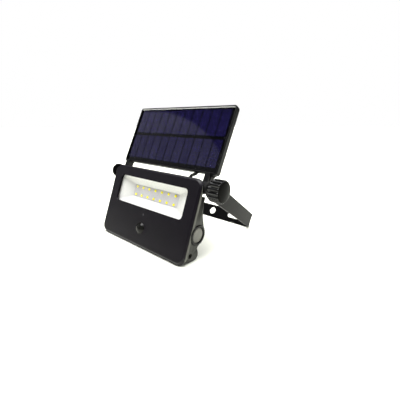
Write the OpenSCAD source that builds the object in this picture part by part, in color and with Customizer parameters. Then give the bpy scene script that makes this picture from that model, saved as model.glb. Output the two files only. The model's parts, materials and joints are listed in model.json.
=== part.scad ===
// Solar flood light with a motion sensor, standing on its own mounting bracket.
//
// Everything on the lamp is drawn in the casing frame: X to the right, Y into the casing from
// its front face, Z up the face, with Z = 0 at the middle of the window. The solar panel and
// the bracket are drawn in frames of their own, with the hinge axis as their X axis.
// stand() then leans the whole light back until it rests on the casing's lower edge and on the
// lower edge of the bracket. The origin is on that surface, under the middle of the light.

/* [Casing] */
// Width of the front bezel
casing_w = 181; // [180:0.5:182]
// Height of the front bezel
casing_h = 113; // [112:0.5:116]
// Distance from the middle of the window up to the top edge
window_drop = 36.5; // [36:0.25:38]
// Depth of the front bezel
bezel_t = 6; // [6:0.25:7]
// Bevel round the front edge
bezel_bevel = 3; // [1:0.25:3.5]
// Corner radius of the casing
corner_r = 12.5; // [11:0.5:13]
// Wall thickness of the casing
wall = 2.3; // [2:0.1:2.4]

/* [Window] */
// Width of the window opening
window_w = 141; // [132:1:142]
// Height of the window opening
window_h = 41.2; // [40:0.2:42]
// Depth of the LED board behind the front face
led_depth = 13.4; // [12:0.2:13.6]
// LEDs in a row
led_columns = 7; // [3:1:7]
// Distance between LEDs in a row
led_pitch = 13.8; // [8:0.2:14]
// Distance between the two rows of LEDs
led_row_gap = 12.4; // [8:0.2:13]

/* [Solar panel] */
// Width of the panel
panel_w = 192.4; // [186:0.2:192.6]
// Height of the panel
panel_h = 96.7; // [92:0.1:100]
// Thickness of the panel
panel_t = 9.4; // [9:0.1:11]
// Solar cells in a row
cell_columns = 11; // [6:1:11]
// Distance between solar cells
cell_pitch = 16.5; // [14:0.1:16.5]
// Height of a solar cell, a quarter of a 156 mm wafer
cell_h = 39; // [32:0.5:40]
// How far the panel leans back from the plane of the lamp
panel_tilt = 5.7; // [0:0.1:20]

/* [Bracket] */
// Clear width between the bracket's arms
bracket_gap = 193.6; // [193.4:0.1:195]
// Thickness of the bracket's strip
strip_t = 2.5; // [2:0.25:3]
// Width of the bracket's strip
strip_w = 22.5; // [20:0.5:24]
// Distance from the hinge axis to the back of the cross bar
bracket_reach = 145; // [138:1:150]
// Angle of the arms, from the casing's up direction towards its back
bracket_angle = 102.4; // [98:0.2:108]
// Radius of the two round mounting holes
mount_hole_r = 6.5; // [3:0.25:6.5]
// Distance of a round mounting hole from the middle of the cross bar
mount_hole_x = 18.6; // [12:0.2:24]

/* [Knob] */
// Radius over the ribs of the clamp knob
knob_r = 14.8; // [13:0.1:16]
// Length of the knob's grip
knob_l = 15.5; // [12:0.5:18]
// Number of flutes round the grip
knob_flutes = 16; // [10:1:18]

/* [Hidden] */
$fn = 64;

// Casing: heights in the casing frame
top_z = window_drop;
bottom_z = window_drop - casing_h;
middle_z = (top_z + bottom_z) / 2;
housing_inset = 0.5;
housing_w = casing_w - 2 * housing_inset;
housing_h = casing_h - 2 * housing_inset;
slab_y = 13.6;              // back of the thin upper part of the housing
pad_w = 118;                // raised pad behind the LED board
pad_h = 34;
pad_y = 17.6;

// Battery tube along the back, with the push button at its right end
tube_y = 17;
tube_z = -34.3;
tube_r = 15;
battery_y = tube_y + 1.2;
cell_r = 9.1;
cell_l = 65;
// Rear rib below the tube, which the charging socket opens into
rib_y = 20;
rib_z = -61.3;
rib_r = 8;

// Hinge
axis_y = 11;
axis_z = 26.3;
hub_r = 7.6;
ear_in_x = 80;
ear_out_x = 88;
notch_x = 79.4;
notch_depth = 10.9;         // how far the notch reaches below the hinge axis
block_x = 76;               // inner side of the solid corner blocks, clear of the glass
barrel_x = 67;              // inner end of the hinge barrels
barrel_front = 7.2;         // front of a barrel's flat, where it passes behind the window
insert_x = 68;
insert_r = 4.5;
stud_r = 3;
running = 0.08;             // radial clearance of a pin in its bore
slack = 0.3;                // gap between pieces that move past each other
arm_in_x = bracket_gap / 2;
arm_out_x = arm_in_x + strip_t;

// Window
glass_edge = 3;             // how far the glass reaches behind the bezel
glass_t = 3;
board_w = 104;
board_h = 27;
board_t = 1.6;
led_z = 1.2;
led_pack = [3.8, 3.5];
led_field = [3.2, 3];         // yellow part of an LED
led_pack_t = 0.9;
reflector_floor = [96, 19.4];

// Motion sensor, indicator and circuit board
pir_z = -50;
pir_r = 8.5;
pir_rise = 4.2;
indicator_z = -30;
indicator_r = 1.5;
control_y = 7;
control_size = [84, 38];
control_z = -41;

// Button and charge socket on the right side
button_r = 10.1;
button_face_x = casing_w / 2 + 0.9;
button_l = 5;
sleeve_r = 10.9;
ring_r = 13.8;
ring_t = 1.7;
socket_y = 12.1;
socket_z = -62.1;
socket_r = 3.5;
socket_bore_r = 2.75;

// Gasket across the joint between bezel and housing
gasket_y = [5.4, 6.4];
gasket_w = 0.95;

// Casing screws: [x, z, back surface of the housing there]
screw_spots = [
    [-58, 29.3, slab_y], [0, 29.3, slab_y], [58, 29.3, slab_y], [-74, -54, 22.4], [74, -54, 22.4]
];
screw_head_r = 2.8;
screw_head_t = 1.8;
screw_r = 1.4;
screw_seat_y = 11.3;
bezel_boss_y = 8.8;

// Solar panel, in the panel frame
face_y = 3.7;               // front of the panel behind the hinge axis
foot_z = 20.4;              // lower edge of the panel above the hinge axis
panel_mid_z = foot_z + panel_h / 2;
lip = 2.2;
glass_sink = 0.7;
pane_t = 1.6;
wafer_t = 0.4;
sheet_t = 1;
web_t = 1.4;
cover_t = 1.8;
cell_gap = 1.8;
row_gap = 5;
cells_up = 2.2;             // the cells sit above the middle of the panel
cells_left = 0.8;
pane_y = face_y + glass_sink;
wafer_y = pane_y + pane_t;
sheet_y = wafer_y + wafer_t;
web_y = sheet_y + sheet_t;
cover_y = face_y + panel_t - cover_t;
neck_front = 1.2;
neck_back = 11.1;
flare_r = 7;
fillet_r = 4;
panel_screw_spots = [
    for (x = [-1, 1], z = [-1, 1]) [x * (panel_w / 2 - 7), panel_mid_z + z * (panel_h / 2 - 7)]
];
panel_screw_r = 1.2;

// Lead from the lamp to the panel, in the casing frame
lead_r = 2.2;
lead_x = 61.5;
lead_y = 10;
lead_route = [
    [lead_x, lead_y, 35], [lead_x, lead_y, 37.4], [lead_x, 10.3, 38.6], [lead_x, 11.2, 39.6],
    [lead_x, 12.6, 40.5], [lead_x, 17.9, 43.1], [lead_x, 19.3, 44], [lead_x, 20.1, 45.1],
    [lead_x, 20.35, 46.2], [lead_x, 20.5, 47.7]
];
lead_sides = 8;
lead_entry_y = 7.4;         // where the lead meets the panel's lower edge, in the panel frame
lamp_gland_r = 2.75;
panel_gland_r = 3.1;

// Bracket
bend_r = 3;
slot_r = 4;
slot_in_x = 52;
slot_out_x = 76;

// Knob, along the hinge axis
washer_t = 1.6;
washer_x = arm_out_x + slack;
grip_x = washer_x + washer_t;
cap_x = grip_x + knob_l;
cap_rise = 3;
flute_r = 2.2;
stud_in_x = 68;
bolt_head_t = 1.8;
bolt_head_r = 5;

// Standing: the floor line runs from the bezel's lower back edge, or from under the rib if that
// reaches lower, to the bracket's lower edge
bar_low = [
    axis_y + bracket_reach * sin(bracket_angle) + strip_w / 2 * cos(bracket_angle),
    axis_z + bracket_reach * cos(bracket_angle) - strip_w / 2 * sin(bracket_angle)
];
bar_high = [
    axis_y + bracket_reach * sin(bracket_angle) - strip_w / 2 * cos(bracket_angle),
    axis_z + bracket_reach * cos(bracket_angle) + strip_w / 2 * sin(bracket_angle)
];
rib_run = bar_low - [rib_y, rib_z];
rib_lean = atan2(rib_run[1], rib_run[0]) + asin(rib_r / norm(rib_run));
bezel_run = bar_low - [bezel_t, bottom_z];
bezel_lean = atan2(bezel_run[1], bezel_run[0]);
lean = max(rib_lean, bezel_lean);
function leaned_y(p) = p[0] * cos(lean) + p[1] * sin(lean);
function leaned_z(p) = p[1] * cos(lean) - p[0] * sin(lean);
front_reach = leaned_y([0, bottom_z + bezel_bevel]);
back_reach = leaned_y(bar_high);
knob_end_x = cap_x + cap_rise;
bolt_end_x = arm_out_x + slack + bolt_head_t;
origin_x = (knob_end_x - bolt_end_x) / 2;
origin_y = (front_reach + back_reach) / 2;
floor_z = leaned_z(bar_low);

// Frames
module stand() {
    translate([-origin_x, -origin_y, -floor_z]) rotate([-lean, 0, 0]) children();
}

module on_hinge(angle) {
    stand() translate([0, axis_y, axis_z]) rotate([-angle, 0, 0]) children();
}

module on_panel() {
    on_hinge(panel_tilt) children();
}

module on_bracket() {
    on_hinge(bracket_angle) children();
}

// An (x, z) outline from depth y0 to depth y1
module plate(y0, y1) {
    translate([0, y1, 0]) rotate([90, 0, 0]) linear_extrude(y1 - y0) children();
}

// A (y, z) profile from x0 to x1
module along_x(x0, x1) {
    translate([x0, 0, 0]) rotate([90, 0, 90]) linear_extrude(x1 - x0) children();
}

module rod_x(x0, x1, r) {
    translate([x0, 0, 0]) rotate([0, 90, 0]) cylinder(h = x1 - x0, r = r);
}

module rod_y(y0, y1, r) {
    translate([0, y1, 0]) rotate([90, 0, 0]) cylinder(h = y1 - y0, r = r);
}

module tube_x(x0, x1, r_out, r_in) {
    difference() {
        rod_x(x0, x1, r_out);
        rod_x(x0 - 1, x1 + 1, r_in);
    }
}

module both_sides() {
    for (side = [0, 1]) mirror([side, 0, 0]) children();
}

// Rounded rectangle about the origin
module rounded(w, h, r) {
    square([w - 2 * r, h], center = true);
    square([w, h - 2 * r], center = true);
    for (x = [-1, 1], z = [-1, 1]) translate([x * (w / 2 - r), z * (h / 2 - r)]) circle(r);
}

// Rounded plate with its front edge bevelled
module bevelled_plate(w, h, t, r, bevel) {
    module edge_profile(half) {
        polygon([
            [0, -half + bevel], [bevel, -half], [t, -half],
            [t, half], [bevel, half], [0, half - bevel]
        ]);
    }
    along_x(r - w / 2, w / 2 - r) edge_profile(h / 2);
    rotate([0, 90, 0]) along_x(r - h / 2, h / 2 - r) edge_profile(w / 2);
    for (x = [-1, 1], z = [-1, 1]) translate([x * (w / 2 - r), t, z * (h / 2 - r)]) rotate([90, 0, 0]) {
        cylinder(h = t - bevel, r = r);
        translate([0, 0, t - bevel]) cylinder(h = bevel, r1 = r, r2 = r - bevel);
    }
}

// Casing

// Inside outline of the casing: full width below the hinges, narrower between them
module cavity_outline(inset) {
    low_w = housing_w - 2 * wall - 2 * inset;
    low_top = axis_z - notch_depth - wall - inset;
    low_bottom = bottom_z + housing_inset + wall + inset;
    r = corner_r - housing_inset - wall - inset;
    translate([-low_w / 2, low_bottom + r]) square([low_w, low_top - low_bottom - r]);
    translate([r - low_w / 2, low_bottom]) square([low_w - 2 * r, r + 1]);
    for (x = [-1, 1]) translate([x * (low_w / 2 - r), low_bottom + r]) circle(r);
    translate([inset - block_x, low_bottom + 1])
        square([2 * (block_x - inset), top_z - housing_inset - wall - inset - low_bottom - 1]);
}

module window_outline(grow) {
    rounded(window_w + 2 * grow, window_h + 2 * grow, 5.5 + grow);
}

module front_bezel() {
    color([0.13, 0.12, 0.14]) stand() difference() {
        union() {
            difference() {
                translate([0, 0, middle_z])
                    bevelled_plate(casing_w, casing_h, bezel_t, corner_r, bezel_bevel);
                plate(wall, bezel_t + 1) cavity_outline(0);
            }
            // rim that holds the glass
            plate(1, wall + glass_t) difference() {
                window_outline(glass_edge + 2);
                window_outline(glass_edge);
            }
            for (s = screw_spots) translate([s[0], 0, s[1]]) rod_y(1, bezel_boss_y, 3.2);
        }
        plate(-1, wall + 1) window_outline(0);
        translate([0, 0, pir_z]) rod_y(-1, wall + 1, pir_r + 0.2);
        translate([0, 0, indicator_z]) rod_y(-1, wall + 1, indicator_r + 0.1);
        for (s = screw_spots) translate([s[0], 0, s[1]]) rod_y(3.4, bezel_boss_y + 1, screw_r);
        // hollows for the hinge barrels, and a seat for the button's ring
        both_sides() translate([0, axis_y, axis_z]) rod_x(block_x - 0.2, casing_w / 2 + 1, hub_r + 0.5);
        translate([0, tube_y, tube_z]) rod_x(housing_w / 2, casing_w / 2 + 1, ring_r + 0.1);
    }
}

// Side profile of the housing in (y, z), running past the casing's outline above and below
module housing_profile() {
    polygon([
        [0, top_z + 5], [slab_y - 7, top_z + 5], [slab_y, top_z - 2], [slab_y + 0.3, 6],
        [18.2, -9], [25.8, -24.2], [tube_y, tube_z], [22.4, -47.4], [22.4, -54.8], [rib_y, rib_z],
        [rib_y + 2, rib_z - rib_r + 0.6], [0, bottom_z - 2.4]
    ]);
    translate([tube_y, tube_z]) circle(tube_r);
    translate([rib_y, rib_z]) circle(rib_r);
}

// The hollow inside it, one wall smaller
module hollow_profile() {
    polygon([
        [0, top_z - 2], [slab_y - wall, top_z - 2], [slab_y - wall, 5.4],
        [18.2 - wall, -9.6], [22.8, -25.4], [tube_y, tube_z], [19.6, -45.2], [19.6, -54.3],
        [rib_y, rib_z], [19, -65.4], [bezel_t + 0.9, -74.5], [0, -74.5]
    ]);
    translate([tube_y, tube_z]) circle(tube_r - wall);
    translate([rib_y, rib_z]) circle(rib_r - wall);
}

// Barrel of a hinge, flat in front where it passes behind the window
module hinge_barrel() {
    intersection() {
        rod_x(barrel_x, notch_x, hub_r);
        translate([barrel_x - 1, barrel_front - axis_y, -2 * hub_r]) cube([20, 4 * hub_r, 4 * hub_r]);
    }
    rod_x(block_x + 0.4, notch_x, hub_r);
}

module rear_housing() {
    color([0.14, 0.14, 0.13]) stand() difference() {
        union() {
            difference() {
                intersection() {
                    union() {
                        along_x(-housing_w, housing_w) housing_profile();
                        translate([0, 0, 1]) plate(2, pad_y) rounded(pad_w, pad_h, 6);
                    }
                    translate([0, 0, middle_z])
                        plate(bezel_t, 60) rounded(housing_w, housing_h, corner_r - housing_inset);
                }
                intersection() {
                    along_x(-housing_w, housing_w) hollow_profile();
                    plate(1, 60) cavity_outline(0);
                }
                translate([0, 0, 1]) plate(0, pad_y - wall) rounded(pad_w - 2 * wall, pad_h - 2 * wall, 4);
                both_sides() translate([notch_x, 0, axis_z - notch_depth]) cube([20, 60, 40]);
            }
            // hinge barrels and screw posts
            both_sides() translate([0, axis_y, axis_z]) hinge_barrel();
            for (s = screw_spots) translate([s[0], 0, s[1]]) rod_y(bezel_boss_y + 0.2, s[2] - 0.5, 4.6);
        }
        for (s = screw_spots) translate([s[0], 0, s[1]]) {
            rod_y(screw_seat_y, 40, screw_head_r + 0.3);
            rod_y(bezel_boss_y - 1, screw_seat_y + 1, screw_r + 0.2);
        }
        both_sides() translate([0, axis_y, axis_z]) rod_x(insert_x, notch_x + 1, insert_r);
        translate([0, tube_y, tube_z]) rod_x(housing_w / 2 - wall - 1, housing_w / 2 + 1, sleeve_r);
        translate([0, socket_y, socket_z]) rod_x(housing_w / 2 - wall - 1, housing_w / 2 + 1, socket_r);
        translate([lead_x, lead_y, top_z - 8]) cylinder(h = 9, r = lamp_gland_r + 0.05);
    }
}

module housing_gasket() {
    color([0.09, 0.09, 0.09]) stand() plate(gasket_y[0], gasket_y[1]) difference() {
        cavity_outline(0.15);
        cavity_outline(0.15 + gasket_w);
    }
}

module window_glass() {
    color([0.85, 0.9, 0.92, 0.35]) stand() plate(wall, wall + glass_t) window_outline(glass_edge - 0.2);
}

// Block with sloping sides from the window down to the LED board
module reflector_taper(grow, from_y, to_y) {
    hull() {
        plate(from_y, from_y + 0.1) rounded(window_w + 2 * grow, window_h + 2 * grow, 5.5, $fn = 32);
        translate([0, 0, led_z]) plate(to_y - 0.1, to_y)
            rounded(reflector_floor[0] + 2 * grow, reflector_floor[1] + 2 * grow, 2, $fn = 32);
    }
}

module reflector() {
    rim_y = wall + glass_t;
    color([0.96, 0.96, 0.95]) stand() difference() {
        union() {
            plate(rim_y, rim_y + 1) window_outline(glass_edge - 0.2);
            reflector_taper(1.2, rim_y + 0.2, led_depth);
        }
        reflector_taper(0, rim_y - 0.1, led_depth + 0.1);
    }
}

module led_board() {
    color([0.84, 0.83, 0.87]) stand() translate([0, 0, led_z])
        plate(led_depth, led_depth + board_t) square([board_w, board_h], center = true);
}

module at_leds() {
    for (i = [0 : led_columns - 1], row = [-1, 1])
        translate([(i - (led_columns - 1) / 2) * led_pitch, 0, led_z + row * led_row_gap / 2]) children();
}

module led_packages() {
    color([0.93, 0.92, 0.86]) stand() at_leds()
        plate(led_depth - led_pack_t, led_depth) square(led_pack, center = true);
}

module led_phosphors() {
    face = led_depth - led_pack_t;
    color([0.95, 0.87, 0.05]) stand() at_leds() plate(face - 0.2, face) square(led_field, center = true);
}

// Motion sensor, indicator and electronics

module pir_lens() {
    dome_r = (pir_r * pir_r + pir_rise * pir_rise) / (2 * pir_rise);
    color([0.10, 0.10, 0.09]) stand() translate([0, wall, pir_z]) rotate([90, 0, 0]) rotate_extrude() {
        // domed cap in front of the bezel
        intersection() {
            difference() {
                translate([0, wall + pir_rise - dome_r]) circle(dome_r);
                translate([0, wall + pir_rise - dome_r]) circle(dome_r - 1.1);
            }
            translate([0, wall]) square([pir_r, pir_rise + 1]);
        }
        translate([pir_r - 1.6, -1]) square([1.6, wall + 1]);
        translate([pir_r - 1.6, -1]) square([3.4, 1]);
    }
}

module pir_sensor() {
    color([0.75, 0.75, 0.74]) stand() translate([0, 0, pir_z]) {
        rod_y(2.6, control_y, 4.1);
        rod_y(control_y - 0.6, control_y, 4.6);
    }
}

module indicator_light() {
    color([0.28, 0.28, 0.3]) stand() translate([0, 0, indicator_z]) {
        rod_y(0.3, control_y, indicator_r);
        rod_y(control_y - 1.2, control_y, indicator_r + 0.5);
    }
}

module control_board() {
    color([0.05, 0.3, 0.15]) stand() translate([0, 0, control_z])
        plate(control_y, control_y + board_t) square(control_size, center = true);
}

module battery_cells() {
    color([0.15, 0.35, 0.7]) stand() translate([0, battery_y, tube_z]) both_sides()
        rod_x(1, 1 + cell_l, cell_r);
}

module battery_holder() {
    cradle_r = tube_r - wall - 1.5;
    end_x = cell_l + 2.6;
    color([0.12, 0.12, 0.12]) stand() translate([0, battery_y, tube_z]) {
        along_x(-end_x, end_x) difference() {
            circle(cradle_r);
            circle(cell_r + 0.4);
            translate([-20, -20]) square([22, 40]);
        }
        both_sides() along_x(end_x, end_x + 2) intersection() {
            circle(cradle_r);
            translate([-8.4, -20]) square([30, 40]);
        }
    }
}

module battery_contacts() {
    color([0.8, 0.78, 0.7]) stand() translate([0, battery_y, tube_z]) {
        both_sides() rod_x(cell_l + 1.1, cell_l + 2.5, 5);
        rod_x(-0.9, 0.9, 4);
    }
}

module tact_switch() {
    color([0.2, 0.2, 0.2]) stand() translate([0, tube_y, tube_z]) {
        translate([74.6, -4, -4]) cube([5, 8, 8]);
        rod_x(79.6, 80.7, 1.8);
    }
}

module button_ring() {
    outside = housing_w / 2;
    color([0.08, 0.08, 0.08]) stand() translate([0, tube_y, tube_z]) difference() {
        union() {
            rod_x(outside, outside + ring_t, ring_r);
            rod_x(outside - wall - 0.1, outside + 0.5, sleeve_r - 0.05);
        }
        rod_x(outside - 7, outside + ring_t + 1, button_r + 0.35);
    }
}

module push_button() {
    crown_r = 60;
    stem_l = 4;
    color([0.6, 0.6, 0.56]) stand()
        translate([button_face_x - button_l - stem_l, tube_y, tube_z]) rotate([0, 90, 0]) rotate_extrude() {
            intersection() {
                translate([0, stem_l]) square([button_r, button_l + 1]);
                translate([0, stem_l + button_l - crown_r]) circle(crown_r);
            }
            square([3, stem_l + 1]);
        }
}

module charge_socket() {
    outside = housing_w / 2 - wall;
    color([0.06, 0.06, 0.06]) stand() translate([0, socket_y, socket_z]) difference() {
        rod_x(outside - 9, outside, socket_r - 0.1);
        rod_x(outside - 7.5, outside + 1, socket_bore_r);
    }
}

module socket_pin() {
    outside = housing_w / 2 - wall;
    color([0.8, 0.78, 0.7]) stand() translate([0, socket_y, socket_z]) rod_x(outside - 7.5, outside - 1, 1);
}

module housing_screws() {
    color([0.7, 0.7, 0.7]) stand() for (s = screw_spots) translate([s[0], 0, s[1]]) difference() {
        union() {
            rod_y(screw_seat_y, screw_seat_y + screw_head_t, screw_head_r);
            rod_y(4, screw_seat_y + 0.5, screw_r - 0.05);
        }
        rod_y(screw_seat_y + 0.8, screw_seat_y + 3, 1.1);
    }
}

// Hinge hardware held by the lamp

module pivot_inserts() {
    color([0.8, 0.62, 0.28]) stand() both_sides() translate([0, axis_y, axis_z])
        tube_x(insert_x, notch_x, insert_r - 0.05, stud_r + 0.05);
}

module pivot_bolt() {
    head_x = arm_out_x + slack;
    color([0.12, 0.12, 0.12]) stand() mirror([1, 0, 0]) translate([0, axis_y, axis_z]) difference() {
        union() {
            rod_x(stud_in_x, head_x + 1, stud_r);
            rod_x(head_x, head_x + bolt_head_t, bolt_head_r);
        }
        translate([head_x + bolt_head_t - 1.2, 0, 0]) rotate([0, 90, 0]) cylinder(h = 3, r = 2.3, $fn = 6);
    }
}

module lamp_gland() {
    color([0.07, 0.07, 0.07]) stand() translate([lead_x, lead_y, 0]) difference() {
        union() {
            translate([0, 0, top_z - 4]) cylinder(h = 5, r = lamp_gland_r);
            translate([0, 0, top_z - housing_inset]) cylinder(h = 1.3, r = lamp_gland_r + 0.5);
        }
        translate([0, 0, top_z - 5]) cylinder(h = 9, r = lead_r + 0.05);
    }
}

// A round tube swept along the lead's route
function unit(v) = v / norm(v);
function heading(i) = unit(lead_route[min(i + 1, len(lead_route) - 1)] - lead_route[max(i - 1, 0)]);
function lead_ring(i) = [
    for (k = [0 : lead_sides - 1]) let (a = 360 * k / lead_sides, across = cross(heading(i), [1, 0, 0]))
        lead_route[i] + lead_r * (cos(a) * [1, 0, 0] + sin(a) * across)
];

module panel_lead() {
    last = len(lead_route) - 1;
    points = [for (i = [0 : last]) each lead_ring(i)];
    sides = [
        for (i = [0 : last - 1], k = [0 : lead_sides - 1]) let (n = (k + 1) % lead_sides)
            [i * lead_sides + k, i * lead_sides + n, (i + 1) * lead_sides + n, (i + 1) * lead_sides + k]
    ];
    near_end = [for (k = [lead_sides - 1 : -1 : 0]) k];
    far_end = [for (k = [0 : lead_sides - 1]) last * lead_sides + k];
    color([0.05, 0.05, 0.05]) stand()
        polyhedron(points = points, faces = concat(sides, [near_end, far_end]));
}

// Solar panel

module panel_outline(inset) {
    translate([0, panel_mid_z]) rounded(panel_w - 2 * inset, panel_h - 2 * inset, max(4 - inset, 1.4));
}

module panel_frame() {
    flare_x = panel_w / 2 - 0.2;
    flare_z = foot_z - flare_r + 0.3;
    color([0.12, 0.12, 0.12]) on_panel() difference() {
        union() {
            plate(face_y, cover_y) panel_outline(0);
            both_sides() along_x(ear_in_x, ear_out_x) {
                circle(hub_r);
                polygon([
                    [neck_front, 0], [7, 0], [neck_back, 6],
                    [neck_back, foot_z + 1], [neck_front, foot_z + 1]
                ]);
            }
            both_sides() plate(face_y + 0.5, neck_back - 0.2) difference() {
                translate([ear_out_x - 2, flare_z - 0.7])
                    square([flare_x - ear_out_x + 2, foot_z - flare_z + 2]);
                translate([flare_x, flare_z]) circle(flare_r);
            }
            both_sides() plate(face_y + 0.5, neck_back - 0.2) difference() {
                translate([ear_in_x - fillet_r, foot_z - fillet_r]) square(fillet_r + 1);
                translate([ear_in_x - fillet_r + 0.2, foot_z - fillet_r + 0.2]) circle(fillet_r);
            }
        }
        plate(face_y - 1, web_y) panel_outline(lip);
        plate(web_y + web_t, cover_y + 1) panel_outline(lip);
        both_sides() rod_x(ear_in_x - 1, ear_out_x + 1, stud_r + running);
        translate([lead_x, lead_entry_y, foot_z - 1]) cylinder(h = lip + 1.5, r = panel_gland_r + 0.05);
    }
    color([0.12, 0.12, 0.12]) on_panel() for (s = panel_screw_spots)
        translate([s[0], 0, s[1]]) difference() {
            rod_y(web_y + web_t, cover_y, 2.8);
            rod_y(web_y + web_t + 0.4, cover_y + 1, panel_screw_r);
        }
}

module panel_glass() {
    color([0.7, 0.75, 0.85, 0.3]) on_panel() plate(pane_y, wafer_y) panel_outline(lip + 0.1);
}

module solar_cells() {
    color([0.1, 0.1, 0.28]) on_panel() plate(wafer_y, sheet_y)
        for (i = [0 : cell_columns - 1], row = [-1, 1])
            translate([
                (i - (cell_columns - 1) / 2) * cell_pitch - cells_left,
                panel_mid_z + cells_up + row * (cell_h + row_gap) / 2
            ]) square([cell_pitch - cell_gap, cell_h], center = true);
}

module cell_backsheet() {
    color([0.05, 0.05, 0.06]) on_panel() plate(sheet_y, web_y) panel_outline(lip + 0.1);
}

module panel_back_cover() {
    color([0.1, 0.1, 0.1]) on_panel() difference() {
        plate(cover_y, face_y + panel_t) panel_outline(0.5);
        for (s = panel_screw_spots) translate([s[0], 0, s[1]]) {
            rod_y(cover_y - 1, cover_y + 5, panel_screw_r + 0.3);
            rod_y(cover_y + 0.8, cover_y + 5, 2.6);
        }
    }
}

module panel_screws() {
    color([0.7, 0.7, 0.7]) on_panel() for (s = panel_screw_spots) translate([s[0], 0, s[1]]) difference() {
        union() {
            rod_y(cover_y + 0.8, cover_y + 1.7, 2.3);
            rod_y(web_y + web_t + 0.6, cover_y + 1, panel_screw_r - 0.05);
        }
        rod_y(cover_y + 1.1, cover_y + 3, 0.9);
    }
}

module panel_gland() {
    color([0.07, 0.07, 0.07]) on_panel() translate([lead_x, lead_entry_y, foot_z]) difference() {
        union() {
            translate([0, 0, -0.6]) cylinder(h = 0.6, r = panel_gland_r + 0.5);
            translate([0, 0, -0.3]) cylinder(h = lip + 0.2, r = panel_gland_r);
        }
        translate([0, 0, -2]) cylinder(h = lip + 4, r = lead_r + 0.45);
    }
}

module pivot_spacers() {
    color([0.06, 0.06, 0.06]) on_panel() both_sides()
        tube_x(ear_out_x, arm_in_x - 0.2, 6.4, stud_r + running);
}

// Bracket

module bend_outline(half, reach, r) {
    translate([-half, -strip_w]) square([2 * half, strip_w + reach - r]);
    translate([r - half, -strip_w]) square([2 * (half - r), strip_w + reach]);
    for (x = [-1, 1]) translate([x * (half - r), reach - r]) circle(r);
}

module mounting_bracket() {
    bar_y0 = bracket_reach - strip_t - 1;
    color([0.3, 0.3, 0.29]) on_bracket() difference() {
        intersection() {
            plate(-strip_w / 2, strip_w / 2) difference() {
                bend_outline(arm_out_x, bracket_reach, bend_r + strip_t);
                bend_outline(arm_in_x, bracket_reach - strip_t, bend_r);
            }
            along_x(-arm_out_x - 1, arm_out_x + 1) {
                circle(strip_w / 2);
                translate([-strip_w / 2, 0]) square([strip_w, bracket_reach + 1]);
            }
        }
        rod_x(-arm_out_x - 1, arm_out_x + 1, stud_r + running);
        both_sides() translate([mount_hole_x, 0, bar_y0]) cylinder(h = strip_t + 2, r = mount_hole_r);
        both_sides() {
            translate([slot_in_x + slot_r, -slot_r, bar_y0])
                cube([slot_out_x - slot_in_x - 2 * slot_r, 2 * slot_r, strip_t + 2]);
            for (x = [slot_in_x + slot_r, slot_out_x - slot_r])
                translate([x, 0, bar_y0]) cylinder(h = strip_t + 2, r = slot_r);
        }
    }
}

// Clamp knob

module knob_washer() {
    color([0.1, 0.1, 0.1]) stand() translate([0, axis_y, axis_z])
        tube_x(washer_x, grip_x, knob_r - 1.5, stud_r + 0.05);
}

module clamp_knob() {
    color([0.05, 0.05, 0.05]) stand() translate([0, axis_y, axis_z]) difference() {
        rod_x(grip_x, cap_x, knob_r);
        for (i = [0 : knob_flutes - 1]) rotate([i * 360 / knob_flutes, 0, 0])
            translate([0, 0, knob_r + flute_r - 0.9]) rod_x(grip_x + 1.4, cap_x + 1, flute_r);
        rod_x(grip_x - 1, grip_x + 9, stud_r + 0.05);
    }
}

module knob_cap() {
    cap_r = knob_r - 1.3;
    dome_r = (cap_r * cap_r + cap_rise * cap_rise) / (2 * cap_rise);
    color([0.3, 0.3, 0.28]) stand() translate([0, axis_y, axis_z]) intersection() {
        rod_x(cap_x, cap_x + cap_rise + 1, cap_r);
        translate([cap_x + cap_rise - dome_r, 0, 0]) sphere(dome_r, $fn = 128);
    }
}

module knob_stud() {
    color([0.75, 0.75, 0.74]) stand() translate([0, axis_y, axis_z]) rod_x(stud_in_x, grip_x + 8.5, stud_r);
}

front_bezel();
rear_housing();
housing_gasket();
window_glass();
reflector();
led_board();
led_packages();
led_phosphors();
pir_lens();
pir_sensor();
indicator_light();
control_board();
battery_cells();
battery_holder();
battery_contacts();
tact_switch();
button_ring();
push_button();
charge_socket();
socket_pin();
housing_screws();
pivot_inserts();
pivot_bolt();
lamp_gland();
panel_lead();
panel_frame();
panel_glass();
solar_cells();
cell_backsheet();
panel_back_cover();
panel_screws();
panel_gland();
pivot_spacers();
mounting_bracket();
clamp_knob();
knob_cap();
knob_washer();
knob_stud();
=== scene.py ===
"""Solar flood light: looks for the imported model. Lengths in pieces are millimetres in local frames."""
import json
import math

import bmesh
import bpy
from mathutils import Matrix, Vector


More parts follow.
